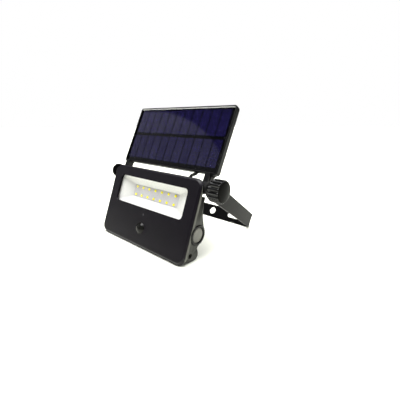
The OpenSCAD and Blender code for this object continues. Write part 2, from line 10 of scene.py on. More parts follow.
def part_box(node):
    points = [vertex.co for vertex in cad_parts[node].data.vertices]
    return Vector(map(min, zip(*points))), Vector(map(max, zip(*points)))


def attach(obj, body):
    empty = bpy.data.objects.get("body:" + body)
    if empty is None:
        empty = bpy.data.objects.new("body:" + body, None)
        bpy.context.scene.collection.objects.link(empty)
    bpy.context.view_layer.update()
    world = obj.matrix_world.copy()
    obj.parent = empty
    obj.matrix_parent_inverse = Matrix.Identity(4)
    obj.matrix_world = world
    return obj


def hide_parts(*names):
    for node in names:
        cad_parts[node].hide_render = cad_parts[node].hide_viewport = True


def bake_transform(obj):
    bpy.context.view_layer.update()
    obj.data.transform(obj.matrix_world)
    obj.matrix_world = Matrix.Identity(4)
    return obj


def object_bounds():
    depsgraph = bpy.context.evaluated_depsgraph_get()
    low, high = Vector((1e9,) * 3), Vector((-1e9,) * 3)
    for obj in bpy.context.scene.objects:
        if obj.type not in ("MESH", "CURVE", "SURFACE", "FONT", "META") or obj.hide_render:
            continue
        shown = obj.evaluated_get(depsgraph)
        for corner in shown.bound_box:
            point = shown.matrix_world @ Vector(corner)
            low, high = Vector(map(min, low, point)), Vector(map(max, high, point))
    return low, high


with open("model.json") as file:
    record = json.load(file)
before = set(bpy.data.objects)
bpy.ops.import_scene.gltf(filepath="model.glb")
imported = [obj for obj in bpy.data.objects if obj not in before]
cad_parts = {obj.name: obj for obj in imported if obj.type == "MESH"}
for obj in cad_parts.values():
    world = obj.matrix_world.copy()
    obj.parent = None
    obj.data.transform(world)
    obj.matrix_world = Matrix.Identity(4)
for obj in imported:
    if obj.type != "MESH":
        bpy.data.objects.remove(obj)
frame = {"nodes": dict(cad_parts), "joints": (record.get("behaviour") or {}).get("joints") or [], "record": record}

MM = 0.001
NODES = frame["nodes"]
JOINTS = {j["name"]: j for j in frame["joints"]}
MOUNTS = {m["name"]: m for m in frame["record"]["mounts"]}
CAD_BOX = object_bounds()

# Driving dimensions, worked out as in part.scad; BORE_R is a pin's hole, with its clearance
CASING_W, CASING_H, WINDOW_DROP = 181, 113, 36.5
BEZEL_T, BEVEL, CORNER_R, WALL = 6, 3, 12.5, 2.3
HOUSING_INSET, SLAB_Y = 0.5, 13.6
PAD_W, PAD_H, PAD_R, PAD_Y, PAD_Z = 118, 34, 6, 17.6, 1
WINDOW_W, WINDOW_H, WINDOW_R, GLASS_T = 141, 41.2, 5.5, 3
LED_DEPTH, LED_Z, LED_PITCH, LED_ROW_GAP, LED_COLUMNS = 13.4, 1.2, 13.8, 12.4, 7
PANEL_W, PANEL_H, PANEL_T, PANEL_R = 192.4, 96.7, 9.4, 4
FACE_Y, FOOT_Z, LIP, COVER_T = 3.7, 20.4, 2.2, 1.8
WEB_Y = 7.4
AXIS_Y, AXIS_Z = 11, 26.3
HUB_R, EAR_IN_X, EAR_OUT_X = 7.6, 80, 88
NOTCH_X, NOTCH_DEPTH, BLOCK_X, INSERT_R = 79.4, 10.9, 76, 4.5
NECK_FRONT, NECK_BACK = 1.2, 11.1
TUBE_Y, TUBE_Z, TUBE_R = 17, -34.3, 15
RIB_Y, RIB_Z, RIB_R = 20, -61.3, 8
SCREW_HEAD_R, SCREW_HEAD_T, SCREW_SEAT_Y = 2.8, 1.8, 11.3
SOCKET_Y, SOCKET_Z, SOCKET_R = 12.1, -62.1, 3.5
ARM_IN_X, STRIP_T, STRIP_W, REACH, BEND_R = 96.8, 2.5, 22.5, 145, 3
HOLE_X, HOLE_R = 18.6, 6.5
SLOT_X, SLOT_L, SLOT_W = 64, 24, 8
BORE_R, BOLT_R, BOLT_IN_X = 3.08, 3, 68
SLACK, WASHER_T = 0.3, 1.6
KNOB_R, KNOB_L, FLUTES = 14.8, 15.5, 16
PIR_R, PIR_RISE, PIR_Z, INDICATOR_Z = 8.5, 4.2, -50, -30
BUTTON_R, BUTTON_FACE_X, SLEEVE_R, RING_R = 10.1, CASING_W / 2 + 0.9, 10.9, 13.8
LEAD_R, LEAD_X, LEAD_Y, ENTRY_Y = 2.2, 61.5, 10, 7.4
LAMP_GLAND_R, PANEL_GLAND_R = 2.75, 3.1

# Worked out from them
TOP_Z = WINDOW_DROP
BOTTOM_Z = WINDOW_DROP - CASING_H
MIDDLE_Z = (TOP_Z + BOTTOM_Z) / 2
HOUSING_HALF_W = CASING_W / 2 - HOUSING_INSET
COVER_Y = FACE_Y + PANEL_T - COVER_T
PANEL_MID_Z = FOOT_Z + PANEL_H / 2
WASHER_X = ARM_IN_X + STRIP_T + SLACK
GRIP_X = WASHER_X + WASHER_T
HINGE_AT = (0, AXIS_Y, AXIS_Z)
TUBE_AT = (0, TUBE_Y, TUBE_Z)

# Places as (x, z) on the casing's back and on the panel's
CASING_SCREWS = [(-58, 29.3), (0, 29.3), (58, 29.3), (-74, -54), (74, -54)]
PANEL_SCREWS = [
    (x * (PANEL_W / 2 - 7), PANEL_MID_Z + z * (PANEL_H / 2 - 7))
    for x in (-1, 1) for z in (-1, 1)
]


# Local frames: X right, Y into the object, Z up the face, in millimetres

def local_frame(origin, back):
    side = Vector((1, 0, 0))
    back = Vector(back).normalized()
    up = side.cross(back)
    turn = Matrix((side, back, up)).transposed().to_4x4()
    return Matrix.Translation(origin) @ turn @ Matrix.Scale(MM, 4)


def face_back(node):
    """Direction into a flat pane, from its largest face towards the viewer."""
    fronts = [p for p in NODES[node].data.polygons if p.normal.y < -0.5]
    return -max(fronts, key=lambda p: p.area).normal


def box_middle(node):
    low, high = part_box(node)
    return (Vector(low) + Vector(high)) / 2


HINGE = Vector(JOINTS["panel_tilt"]["pos_m"])
casing_back = face_back("window_glass")
window_middle = box_middle("window_glass")
window_middle.x = HINGE.x
CASING = local_frame(window_middle - casing_back * (WALL + GLASS_T / 2) * MM, casing_back)
PANEL = local_frame(HINGE, face_back("panel_glass"))
KNOB = local_frame(HINGE, casing_back)
arm_out = Vector(MOUNTS["bar_back"]["axis"])
BRACKET = local_frame(HINGE, arm_out.cross(Vector((1, 0, 0))))


# Camera: the photograph's viewing angle

def make_camera():
    data = bpy.data.cameras.new("camera")
    data.lens, data.sensor_width = 21.44, 36
    data.clip_start = 0.01
    camera = bpy.data.objects.new("camera", data)
    bpy.context.scene.collection.objects.link(camera)
    place = CASING @ Vector((262.5, -235.6, 13.3))
    turn = CASING.to_3x3().normalized()
    forward = turn @ Vector((-0.58496, 0.81101, -0.00910))
    up = turn @ Vector((-0.19813, -0.13201, 0.97125))
    right = forward.cross(up).normalized()
    up = right.cross(forward)
    camera.matrix_world = Matrix.Translation(place) @ Matrix((right, up, -forward)).transposed().to_4x4()
    bpy.context.scene.camera = camera


make_camera()


# Materials

class Shader:
    """A principled material with helpers for its procedural nodes."""

    def __init__(self, name, **values):
        self.material = bpy.data.materials.new(name)
        self.material.use_nodes = True
        self.tree = self.material.node_tree
        self.shader = self.tree.nodes["Principled BSDF"]
        for key, value in values.items():
            self.shader.inputs[key.replace("_", " ")].default_value = value
        self.place = self.node("ShaderNodeTexCoord").outputs["Object"]

    def node(self, kind, **values):
        made = self.tree.nodes.new(kind)
        for key, value in values.items():
            setattr(made, key, value)
        return made

    def link(self, output, target):
        self.tree.links.new(output, target)

    def noise(self, scale, detail=3, roughness=0.5, stretch=(1, 1, 1)):
        mapping = self.node("ShaderNodeMapping")
        mapping.inputs["Scale"].default_value = stretch
        self.link(self.place, mapping.inputs["Vector"])
        made = self.node("ShaderNodeTexNoise")
        made.inputs["Scale"].default_value = scale
        made.inputs["Detail"].default_value = detail
        made.inputs["Roughness"].default_value = roughness
        self.link(mapping.outputs["Vector"], made.inputs["Vector"])
        return made.outputs["Fac"]

    def spread(self, value, low, high):
        """Maps a noise's middle range, where most of it lies, to low..high."""
        made = self.node("ShaderNodeMapRange")
        made.inputs["From Min"].default_value = 0.3
        made.inputs["From Max"].default_value = 0.7
        made.inputs["To Min"].default_value = low
        made.inputs["To Max"].default_value = high
        self.link(value, made.inputs["Value"])
        return made.outputs["Result"]

    def between(self, factor, first, second):
        made = self.node("ShaderNodeMix", data_type="RGBA")
        made.inputs["A"].default_value = (*first, 1)
        made.inputs["B"].default_value = (*second, 1)
        self.link(factor, made.inputs["Factor"])
        return made.outputs["Result"]

    def set(self, socket, output):
        self.link(output, self.shader.inputs[socket])

    def bump(self, height, depth):
        """Fine relief, with its depth in millimetres."""
        made = self.node("ShaderNodeBump")
        made.inputs["Strength"].default_value = 0.2
        made.inputs["Distance"].default_value = depth * MM
        self.link(height, made.inputs["Height"])
        self.set("Normal", made.outputs["Normal"])


def grey(level):
    return level, level, level


def moulded(name, dark, light, rough, grain=2600, depth=0.03, specular=0.5):
    """Moulded plastic: fine spark-eroded grain, faint flow marks and handling marks in the gloss."""
    s = Shader(name, Specular_IOR_Level=specular)
    s.set("Base Color", s.between(s.spread(s.noise(40, 4), 0, 1), dark, light))
    s.set("Roughness", s.spread(s.noise(90, 5, 0.6), rough - 0.02, rough + 0.03))
    s.bump(s.noise(grain, 2), depth)
    return s.material


def metal(name, dark, light, rough, metallic=1.0):
    """Bare or blackened metal, with fine marks that show in the gloss and the relief."""
    s = Shader(name, Metallic=metallic)
    s.set("Base Color", s.between(s.spread(s.noise(60, 4), 0, 1), dark, light))
    s.set("Roughness", s.spread(s.noise(900), rough - 0.07, rough + 0.07))
    s.bump(s.noise(900), 0.03)
    return s.material


def thin_cover(name, haze, dark, light):
    """Clear pane that is seen through, with a trace of haze."""
    s = Shader(name, IOR=1.5, Specular_IOR_Level=0.0)
    s.set("Base Color", s.between(s.spread(s.noise(30, 3), 0, 1), dark, light))
    s.set("Alpha", s.spread(s.noise(80, 3), haze, haze * 2))
    return s.material


def silicon(name):
    """Monocrystalline cell under its laminated cover: dark blue-violet with faint upright streaks."""
    s = Shader(name, Specular_IOR_Level=0.0, Coat_Weight=0.8)
    streaks = s.spread(s.noise(300, 4, 0.6, (1, 1, 0.15)), 0, 1)
    s.set("Base Color", s.between(streaks, (0.0052, 0.0040, 0.0255), (0.0057, 0.0045, 0.0285)))
    s.set("Roughness", s.spread(s.noise(500, 3), 0.4, 0.5))
    s.set("Coat Roughness", s.spread(s.noise(40, 3), 0.04, 0.055))
    return s.material


def build_materials():
    """Every material by a short key. Colours are the darkest and the lightest of its mottling."""
    m = {}
    # Moulded: roughness, then grain scale, grain depth and specular level where they aren't the usual
    m["bezel"] = moulded("bezel_plastic", (0.0034, 0.0025, 0.0047), (0.0042, 0.0032, 0.0058),
                         0.36, specular=0.17)
    # The next two stand for the same black mouldings, painted paler than those: painted light that makes the
    # bezel's side faces look lit, and a near-white painted highlight on the underside of the panel's upper lip,
    # standing for a reflection
    m["painted_light_flank"] = moulded("bezel_flank", (0.082, 0.083, 0.071), (0.094, 0.095, 0.082), 0.45, specular=0.2)
    m["lip"] = moulded("panel_lip_painted_highlight", (0.7, 0.7, 0.71), (0.75, 0.75, 0.76), 0.12, 2600, 0.001, 1.0)
    m["housing"] = moulded("housing_plastic", (0.030, 0.031, 0.027), (0.037, 0.038, 0.033),
                           0.45, specular=0.25)
    m["panel"] = moulded("panel_plastic", (0.005, 0.005, 0.0055), (0.007, 0.007, 0.0075),
                         0.3, specular=0.14)
    m["cover"] = moulded("cover_plastic", grey(0.014), grey(0.019), 0.5, 1800, 0.06)
    m["rubber"] = moulded("seal_rubber", grey(0.004), grey(0.006), 0.62, 3500, 0.04, 0.1)
    m["sheath"] = moulded("lead_sheath", grey(0.003), grey(0.005), 0.48, 3000, 0.03, 0.15)
    m["white"] = moulded("reflector_white", (0.72, 0.72, 0.70), (0.76, 0.76, 0.74), 0.3, 2000, 0.01)
    m["board"] = moulded("led_board_white", (0.56, 0.55, 0.575), (0.64, 0.63, 0.655), 0.5, 1500, 0.02)
    m["package"] = moulded("led_package", (0.80, 0.74, 0.30), (0.86, 0.80, 0.38), 0.35, 3000, 0.01, 0.2)
    m["knob"] = moulded("knob_gloss", (0.0018, 0.0018, 0.002), (0.0028, 0.0028, 0.003),
                        0.08, 1500, 0.01, 0.3)
    m["cap"] = moulded("knob_satin", (0.0035, 0.0035, 0.0031), (0.005, 0.005, 0.0044),
                       0.36, 2600, 0.05, 0.03)
    m["ring"] = moulded("ring_plastic", grey(0.003), grey(0.005), 0.22, 2000, 0.01, 0.15)
    m["holder"] = moulded("holder_plastic", grey(0.015), grey(0.02), 0.5)
    m["socket"] = moulded("socket_plastic", grey(0.005), grey(0.008), 0.4)
    m["pcb"] = moulded("circuit_board", (0.01, 0.08, 0.035), (0.015, 0.11, 0.05), 0.35, 800, 0.04)
    m["wrap"] = moulded("cell_wrap", (0.04, 0.12, 0.4), (0.05, 0.15, 0.46), 0.3)
    m["lens"] = moulded("smoked_lens", (0.006, 0.006, 0.0055), (0.009, 0.009, 0.008),
                        0.16, 900, 0.02, 0.14)
    m["indicator"] = moulded("indicator_lens", (0.05, 0.05, 0.055), (0.07, 0.07, 0.075), 0.25)
    m["silicone"] = moulded("button_silicone", (0.09, 0.088, 0.076), (0.17, 0.166, 0.144), 0.4, 1400, 0.06)
    m["backsheet"] = moulded("backsheet_black", (0.002, 0.002, 0.0025), (0.003, 0.003, 0.0035),
                             0.08, 2600, 0.001, 0.1)
    m["paint"] = moulded("bracket_paint", (0.0032, 0.0031, 0.0034), (0.0045, 0.0044, 0.0047),
                         0.34, 1300, 0.1, 0.07)
    m["phosphor"] = moulded("led_phosphor", (0.92, 0.80, 0.0), (0.97, 0.88, 0.0), 0.4, 3000, 0.02, 0.05)
    # The phosphor glows faintly yellow though the LEDs are off: painted light standing for its fluorescence
    painted_glow = m["phosphor"].node_tree.nodes["Principled BSDF"].inputs
    painted_glow["Emission Color"].default_value = (1, 0.88, 0, 1)
    painted_glow["Emission Strength"].default_value = 0.3
    m["steel"] = metal("screw_steel", grey(0.45), (0.58, 0.58, 0.57), 0.32)
    m["can"] = metal("sensor_can", (0.55, 0.55, 0.53), (0.65, 0.65, 0.62), 0.25)
    m["brass"] = metal("contact_brass", (0.6, 0.42, 0.16), (0.7, 0.52, 0.22), 0.3)
    m["bolt"] = metal("bolt_black", grey(0.018), grey(0.026), 0.4, 0.6)
    m["glass"] = thin_cover("window_glass", 0.01, grey(0.55), grey(0.65))
    m["pane"] = thin_cover("panel_glass", 0.003, (0.008, 0.009, 0.02), (0.012, 0.013, 0.028))
    m["cell"] = silicon("solar_cell")
    return m


MAT = build_materials()

CAD_LOOKS = {
    "housing_gasket": "rubber", "led_board": "board", "pir_sensor": "can", "control_board": "pcb",
    "battery_cells": "wrap", "battery_holder": "holder", "battery_contacts": "brass",
    "tact_switch": "holder", "charge_socket": "socket", "socket_pin": "brass",
    "pivot_inserts": "brass", "panel_glass": "pane", "solar_cells": "cell",
    "cell_backsheet": "backsheet", "knob_stud": "steel", "window_glass": "glass",
    "indicator_light": "indicator",
}


def dress(node, material):
    data = NODES[node].data
    data.materials.clear()
    data.materials.append(material)


# Mesh helpers, in millimetres of a local frame

def rounded_loop(width, height, radius, middle=(0, 0), steps=10):
    """Corner-rounded rectangle, as (x, z) points anticlockwise from its right side."""
    radius = max(radius, 0.05)
    points = []
    for quarter, (sx, sz) in enumerate([(1, 1), (-1, 1), (-1, -1), (1, -1)]):
        cx = middle[0] + sx * (width / 2 - radius)
        cz = middle[1] + sz * (height / 2 - radius)
        for i in range(steps + 1):
            angle = math.radians(90 * quarter + 90 * i / steps)
            points.append((cx + radius * math.cos(angle), cz + radius * math.sin(angle)))
    return points


def rounded_path(corners, steps=6):
    """Open path through (u, v, radius) corners, each corner turned on an arc of its radius."""
    path = []
    for i, (u, v, radius) in enumerate(corners):
        here = Vector((u, v))
        if radius <= 0 or i in (0, len(corners) - 1):
            path.append(here)
            continue
        before = Vector(corners[i - 1][:2]) - here
        after = Vector(corners[i + 1][:2]) - here
        half = before.angle(after) / 2
        reach = min(radius / math.tan(half), before.length * 0.48, after.length * 0.48)
        turn = reach * math.tan(half)
        first, last = here + before.normalized() * reach, here + after.normalized() * reach
        centre = here + (before.normalized() + after.normalized()).normalized() * (turn / math.sin(half))
        start, sweep = first - centre, (first - centre).angle_signed(last - centre)
        for k in range(steps + 1):
            a = -sweep * k / steps
            path.append(centre + Vector((
                start.x * math.cos(a) - start.y * math.sin(a),
                start.x * math.sin(a) + start.y * math.cos(a))))
    return path


def arc(centre, radius, start, end, steps):
    angles = [math.radians(start + (end - start) * i / steps) for i in range(steps + 1)]
    return [(centre[0] + radius * math.cos(a), centre[1] + radius * math.sin(a)) for a in angles]


def level(loop, y):
    """Stands an (x, z) loop at one depth."""
    return [(x, y, z) for x, z in loop]


def loft(loops, close=False):
    """Skin over closed loops of 3-D points, each with the same count; close joins the last to the first."""
    bm = bmesh.new()
    rings = [[bm.verts.new(p) for p in loop] for loop in loops]
    count = len(rings[0])
    pairs = list(zip(rings, rings[1:])) + ([(rings[-1], rings[0])] if close else [])
    for one, two in pairs:
        for k in range(count):
            n = (k + 1) % count
            bm.faces.new((one[k], one[n], two[n], two[k]))
    if not close:
        bm.faces.new(list(reversed(rings[0])))
        bm.faces.new(rings[-1])
    bmesh.ops.recalc_face_normals(bm, faces=bm.faces)
    return bm


def turned(profile, at, axis="X", segments=64):
    """Solid of revolution from (along, radius) points; points on the axis have radius 0."""
    bm = bmesh.new()
    rings = []
    for along, radius in profile:
        ring = []
        for k in range(segments if radius > 0 else 1):
            a = 2 * math.pi * k / segments
            c, s = radius * math.cos(a), radius * math.sin(a)
            p = {"X": (along, c, s), "Y": (c, along, s), "Z": (c, s, along)}[axis]
            ring.append(bm.verts.new(Vector(p) + Vector(at)))
        rings.append(ring)
    for one, two in zip(rings, rings[1:]):
        if len(one) == 1 and len(two) == 1:
            continue
        for k in range(segments):
            n = (k + 1) % segments
            corners = [one[k % len(one)], one[n % len(one)], two[n % len(two)], two[k % len(two)]]
            bm.faces.new(list(dict.fromkeys(corners)))
    bmesh.ops.recalc_face_normals(bm, faces=bm.faces)
    return bm


def ring_profile(profile):
    """Closes a profile that doesn't touch the axis, such as a tube's."""
    return [*profile, profile[0]]


def prism(outline, start, end, axis="X"):
    """Straight solid: axis X takes (y, z) outlines, axis Y takes (x, z) outlines."""
    if axis == "X":
        return loft([[(x, y, z) for y, z in outline] for x in (start, end)])
    return loft([level(outline, y) for y in (start, end)])


def rod(start, end, radius, at=(0, 0, 0), axis="X", segments=64):
    return turned([(start, 0), (start, radius), (end, radius), (end, 0)], at, axis, segments)


def slab(low, high):
    bm = bmesh.new()
    bmesh.ops.create_cube(bm, size=1)
    low, high = Vector(low), Vector(high)
    bmesh.ops.scale(bm, vec=high - low, verts=bm.verts)
    bmesh.ops.translate(bm, vec=(low + high) / 2, verts=bm.verts)
    return bm


def joined(*meshes):
    whole = bmesh.new()
    for bm in meshes:
        spare = bpy.data.meshes.new("spare")
        bm.to_mesh(spare)
        bm.free()
        whole.from_mesh(spare)
        bpy.data.meshes.remove(spare)
    return whole


def as_object(bm):
    mesh = bpy.data.meshes.new("spare")
    bm.to_mesh(mesh)
    bm.free()
    made = bpy.data.objects.new("spare", mesh)
    bpy.context.scene.collection.objects.link(made)
    return made


def combine(bm, operation, *tools):
    """Exact boolean of one solid with each tool in turn."""
    base = as_object(bm)
    others = [as_object(t) for t in tools]
    for other in others:
        step = base.modifiers.new("step", "BOOLEAN")
        step.operation, step.solver, step.object = operation, "EXACT", other
    shape = base.evaluated_get(bpy.context.evaluated_depsgraph_get())
    made = bmesh.new()
    made.from_mesh(shape.to_mesh())
    shape.to_mesh_clear()
    for spare in [base, *others]:
        mesh = spare.data
        bpy.data.objects.remove(spare)
        bpy.data.meshes.remove(mesh)
    bmesh.ops.remove_doubles(made, verts=made.verts, dist=0.0005)
    return made


def soften(bm, width, over=35):
    """Rounds every edge that turns by more than the given angle."""
    limit = math.radians(over)
    sharp = [e for e in bm.edges if len(e.link_faces) == 2 and e.calc_face_angle(0) > limit]
    bmesh.ops.bevel(bm, geom=sharp, offset=width, offset_type="OFFSET", segments=2,
                    profile=0.5, affect="EDGES", clamp_overlap=True)
    return bm


def piece(name, bm, place, body, material, stands_for, crease=50, second=None):
    """Puts a finished mesh into the row frame, riding on its body; second takes the marked faces."""
    bm.transform(place)
    limit = math.radians(crease)
    for face in bm.faces:
        face.smooth = True
    for edge in bm.edges:
        edge.smooth = len(edge.link_faces) == 2 and edge.calc_face_angle(0) < limit
    mesh = bpy.data.meshes.new(name)
    bm.to_mesh(mesh)
    bm.free()
    mesh.materials.append(MAT[material])
    if second:
        mesh.materials.append(MAT[second])
    made = bpy.data.objects.new(name, mesh)
    bpy.context.scene.collection.objects.link(made)
    normals = made.modifiers.new("normals", "WEIGHTED_NORMAL")
    normals.keep_sharp = True
    if body:
        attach(made, body)
    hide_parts(*stands_for)
    return made


def mirrored(bm):
    twin = bm.copy()
    bmesh.ops.scale(twin, vec=(-1, 1, 1), verts=twin.verts)
    bmesh.ops.reverse_faces(twin, faces=twin.faces)
    return twin


def both_sides(bm):
    """A right-hand solid and its left-hand twin, for combine to use up."""
    return bm, mirrored(bm)


# Lamp

def outline_at(inset, depth):
    loop = rounded_loop(CASING_W - 2 * inset, CASING_H - 2 * inset, CORNER_R - inset, (0, MIDDLE_Z))
    return level(loop, depth)


def window_at(outset, depth):
    return level(rounded_loop(WINDOW_W + 2 * outset, WINDOW_H + 2 * outset, WINDOW_R + outset), depth)


def cavity_tool(start, end):
    """Inside of the casing: full width below the hinges, narrower between them."""
    low_x, high_x = HOUSING_HALF_W - WALL, BLOCK_X
    low, top = BOTTOM_Z + HOUSING_INSET + WALL, TOP_Z - HOUSING_INSET - WALL
    step = AXIS_Z - NOTCH_DEPTH - WALL
    r = CORNER_R - HOUSING_INSET - WALL
    right = [(low_x, step), (high_x, step), (high_x, top)]
    outline = right + [(-x, z) for x, z in reversed(right)]
    outline += arc((r - low_x, low + r), r, 180, 270, 10)
    outline += arc((low_x - r, low + r), r, 270, 360, 10)
    return prism(outline, start, end, "Y")


def front_bezel():
    front = rounded_path([(0, BEZEL_T, 0), (0, BEVEL, 2.2), (BEVEL, 0, 2.2), (2 * BEVEL, 0, 0)])
    edge = rounded_path([(3, 0, 0), (0, 0, 0.7), (0, BEZEL_T, 0)])
    loops = [outline_at(u, v) for u, v in front[:-1]] + [window_at(u, v) for u, v in edge[1:]]
    ear_room = rod(BLOCK_X - 0.2, CASING_W / 2 + 2.5, HUB_R + 0.5, HINGE_AT)
    bm = combine(loft(loops, close=True), "DIFFERENCE",
                 cavity_tool(WALL, BEZEL_T + 1), *both_sides(ear_room),
                 rod(-1, WALL + 1, PIR_R + 0.2, (0, 0, PIR_Z), "Y"),
                 rod(-1, WALL + 1, 1.6, (0, 0, INDICATOR_Z), "Y", 32),
                 rod(HOUSING_HALF_W, CASING_W / 2 + 3.5, RING_R + 0.1, TUBE_AT))
    bm.normal_update()
    for face in bm.faces:
        middle = face.calc_center_median()
        # The bezel's outer side faces take painted light: a paler copy of the black moulding that makes them look
        # lit
        face.material_index = abs(face.normal.x) > 0.8 and abs(middle.x) > CASING_W / 2 - 1
    piece("bezel_shell", bm, CASING, "lamp", "bezel", ["front_bezel"], 32, "painted_light_flank")


def housing_outline():
    """Side profile in (y, z): thin slab, slope, battery tube, notch and rear rib."""
    over_top = TOP_Z + 4
    corners = [(BEZEL_T, over_top, 0), (SLAB_Y - 5, over_top, 0), (SLAB_Y, TOP_Z - 2, 1.5),
               (SLAB_Y + 0.3, 6, 30), (18.2, -9, 22), (25.9, -22, 8)]
    corners += [(*p, 0) for p in arc((TUBE_Y, TUBE_Z), TUBE_R, 42, -56, 20)]
    corners += [(22.3, -51, 2.2)]
    corners += [(*p, 0) for p in arc((RIB_Y, RIB_Z), RIB_R, 48, -72, 16)]
    corners += [(BEZEL_T, BOTTOM_Z + 0.4, 0)]
    return [tuple(p) for p in rounded_path(corners)]


def housing_hollow():
    """Inside of the housing: roughly a wall's thickness within its profile, with the pad's pocket."""
    profile = [(BEZEL_T - 1, 34.5), (11.3, 34.5), (11.3, 6), (15.9, -9.6), (23.4, -25), (27.2, -34),
               (22.4, -44.5), (19.5, -54), (22, -62.5), (18, -66.5), (BEZEL_T - 1, -74.5)]
    half_w = HOUSING_HALF_W - 0.8
    inner = combine(prism(profile, -half_w, half_w), "INTERSECT", cavity_tool(0, 60))
    pocket = rounded_loop(PAD_W - 2 * WALL, PAD_H - 2 * WALL, 4, (0, PAD_Z))
    return combine(inner, "UNION", prism(pocket, BEZEL_T - 2, PAD_Y - WALL, "Y"))


def rear_housing():
    half_w = HOUSING_HALF_W
    shell = prism(housing_outline(), -half_w - 20, half_w + 20)
    pad = loft([
        level(rounded_loop(PAD_W - 2 * i, PAD_H - 2 * i, PAD_R - i, (0, PAD_Z)), y)
        for i, y in [(0, 7), (0, PAD_Y - 1.2), (0.35, PAD_Y - 0.35), (1.2, PAD_Y)]
    ])
    bm = combine(shell, "UNION", pad)
    rim = rounded_loop(2 * half_w, CASING_H - 2 * HOUSING_INSET, CORNER_R - HOUSING_INSET, (0, MIDDLE_Z))
    bm = combine(bm, "INTERSECT", prism(rim, BEZEL_T, 60, "Y"))
    notch = slab((NOTCH_X, 0, AXIS_Z - NOTCH_DEPTH), (110, 60, 60))
    bm = combine(bm, "DIFFERENCE", *both_sides(notch))
    # Only the outer end of each hinge barrel is modelled; the CAD barrel reaches further in
    barrel_end = rod(NOTCH_X - 3, NOTCH_X, HUB_R, HINGE_AT)
    bm = combine(bm, "UNION", *both_sides(barrel_end))
    insert_bores = both_sides(rod(BLOCK_X + 1, NOTCH_X + 1.1, INSERT_R, HINGE_AT))
    seats = [rod(SCREW_SEAT_Y + 0.1, 40, SCREW_HEAD_R + 0.3, (x, 0, z), "Y", 40) for x, z in CASING_SCREWS]
    bm = combine(bm, "DIFFERENCE", housing_hollow(), *insert_bores, *seats,
                 rod(80, 100, SLEEVE_R + 0.1, TUBE_AT),
                 rod(85, 100, SOCKET_R, (0, SOCKET_Y, SOCKET_Z)),
                 rod(TOP_Z - 6, TOP_Z + 2, LAMP_GLAND_R + 0.05, (LEAD_X, LEAD_Y, 0), "Z", 40))
    soften(bm, 0.7)
    piece("housing_shell", bm, CASING, "lamp", "housing", ["rear_housing"], 40)


def screw_head(at, radius, top, thick):
    """Pan head with a cross recess and a short shank; top is the depth of its outer face."""
    shank_y, shank_r = top - thick - 5, 1.3
    bm = turned([(shank_y, 0), (shank_y, shank_r), (top - thick, shank_r), (top - thick, radius),
                 (top - 0.45 * thick, radius), (top - 0.12 * thick, radius * 0.8), (top, radius * 0.45),
                 (top, 0)], at, "Y", 32)
    short, long = 0.35, 1.5
    cross = [slab((-x, top - 0.8, -z), (x, top + 1, z)) for x, z in ((short, long), (long, short))]
    for bar in cross:
        bmesh.ops.translate(bar, vec=Vector(at), verts=bar.verts)
    return combine(bm, "DIFFERENCE", *cross)


def housing_screws():
    top = SCREW_SEAT_Y + SCREW_HEAD_T
    heads = [screw_head((x, 0, z), SCREW_HEAD_R, top, SCREW_HEAD_T) for x, z in CASING_SCREWS]
    piece("casing_screws", joined(*heads), CASING, "lamp", "steel", ["housing_screws"])


def reflector():
    """White tray that narrows from the window's rim to the LED board."""
    rim, flange, thick = WALL + GLASS_T, 2.8, 1.2
    floor_w, floor_h, floor_r = 96, 19.4, 2
    depth = LED_DEPTH - rim

    def at(blend, y, grow=0.0):
        w = WINDOW_W + (floor_w - WINDOW_W) * blend + 2 * grow
        h = WINDOW_H + (floor_h - WINDOW_H) * blend + 2 * grow
        r = WINDOW_R + (floor_r - WINDOW_R) * blend + grow
        return level(rounded_loop(w, h, r, (0, LED_Z * blend)), y)

    loops = [at(0, rim + 1, flange), at(0, rim, flange), at(0, rim, 0.4), at(0, rim + 0.15, 0.1)]
    loops += [at(t, rim + depth * t) for t in (0.05, 0.25, 0.5, 0.75, 0.96)]
    loops += [at(1, LED_DEPTH - 0.12), at(1, LED_DEPTH), at(1, LED_DEPTH, thick)]
    loops += [at(t, rim + 1 + (depth - 1) * t, thick) for t in (0.75, 0.5, 0.25, 0.05)]
    piece("reflector_tray", loft(loops, close=True), CASING, "lamp", "white", ["reflector"],
          40)


def led_spots():
    for column in range(LED_COLUMNS):
        for row in (-1, 1):
            yield (column - (LED_COLUMNS - 1) / 2) * LED_PITCH, LED_Z + row * LED_ROW_GAP / 2


def leds():
    """Each LED is a pale case with a domed yellow field; layers are (inset, depth)."""
    face = LED_DEPTH - 0.9
    case_w, case_h, field_w, field_h = 3.8, 3.5, 3.15, 2.95
    case_layers = [(0, LED_DEPTH), (0, face + 0.15), (0.15, face), (0.3, face), (0.4, face + 0.3)]
    field_layers = [(0, face + 0.35), (0, face - 0.05), (0.25, face - 0.15), (0.7, face - 0.19)]
    cases, fields = [], []
    for spot in led_spots():
        cases.append(loft([
            level(rounded_loop(case_w - 2 * i, case_h - 2 * i, 0.35, spot, 4), y) for i, y in case_layers
        ]))
        fields.append(loft([
            level(rounded_loop(field_w - 2 * i, field_h - 2 * i, 0.8 - i, spot, 5), y)
            for i, y in field_layers
        ]))
    piece("led_cases", joined(*cases), CASING, "lamp", "package", ["led_packages"])
    piece("led_phosphor_caps", joined(*fields), CASING, "lamp", "phosphor", ["led_phosphors"])


